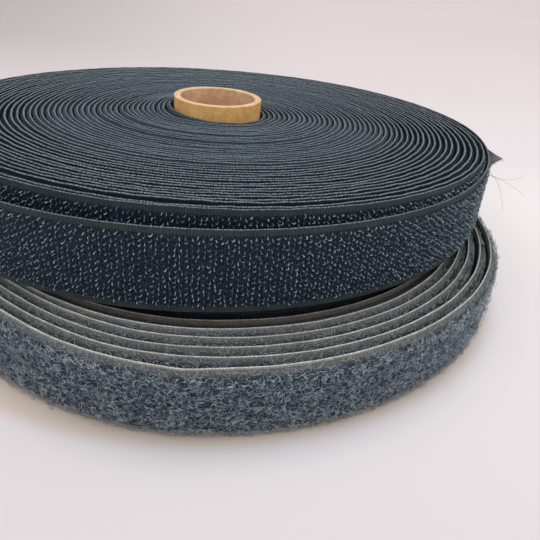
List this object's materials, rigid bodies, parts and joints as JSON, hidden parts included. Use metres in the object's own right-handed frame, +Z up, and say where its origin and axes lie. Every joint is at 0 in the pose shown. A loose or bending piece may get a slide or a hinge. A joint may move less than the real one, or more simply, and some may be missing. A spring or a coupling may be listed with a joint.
{
  "type": "hook and loop tape roll",
  "caption": "Roll of woven hook tape resting on a roll of loop tape, each wound on a paper core, with the hook tape's last turn slipped down and its cut end springing out.",
  "frame": {"origin": "on the surface the pair stands on, under the middle of its outline", "axes": "+Z up along the cores' common axis; -Y is the front of the picture's view and +X its right"},
  "size_m": [0.1892, 0.2014, 0.0508],
  "materials": {
    "core_liner_paper": "matt glued paper plies, pinkish brown, fluffy where cut",
    "core_face_paper": "matt tan kraft paper",
    "hook_tape": "dark navy woven nylon with stiff monofilament hooks and bare woven edges",
    "loop_tape": "blue-grey woven nylon with a brushed pile of loops and bare woven edges"
  },
  "bodies": {
    "loop_core": {"loop_core_inner_plies": "core_liner_paper", "loop_core_face_ply": "core_face_paper"},
    "loop_pack": {"loop_tape_packed_turns": "loop_tape", "loop_tape_outer_turns": "loop_tape"},
    "loop_tape_end": {"loop_tape_free_end": "loop_tape"},
    "hook_core": {"hook_core_inner_plies": "core_liner_paper", "hook_core_face_ply": "core_face_paper"},
    "hook_pack": {"hook_tape_packed_turns": "hook_tape", "hook_tape_outer_turns": "hook_tape"},
    "hook_tape_end": {"hook_tape_free_end": "hook_tape"}
  },
  "joints": [
    {"name": "loop_roll_turn", "type": "hinge", "parent": "loop_core", "child": "loop_pack", "pos_m": [0.00048, 0.00736, 0.01], "axis": [0, 0, 1], "continuous": true},
    {"name": "loop_end_peel", "type": "hinge", "parent": "loop_pack", "child": "loop_tape_end", "pos_m": [-0.01257, 0.08926, 0.01], "axis": [0, 0, 1], "range_deg": [0, 75]},
    {"name": "hook_roll_lift", "type": "slide", "parent": "loop_core", "child": "hook_core", "axis": [0, 0, 1], "range_m": [0, 0.06]},
    {"name": "hook_roll_turn", "type": "hinge", "parent": "hook_core", "child": "hook_pack", "pos_m": [0.00048, 0.00736, 0.0357], "axis": [0, 0, 1], "continuous": true},
    {"name": "hook_end_peel", "type": "hinge", "parent": "hook_pack", "child": "hook_tape_end", "pos_m": [0.08412, 0.04614, 0.0329], "axis": [0, 0, 1], "range_deg": [0, 75]}
  ]
}
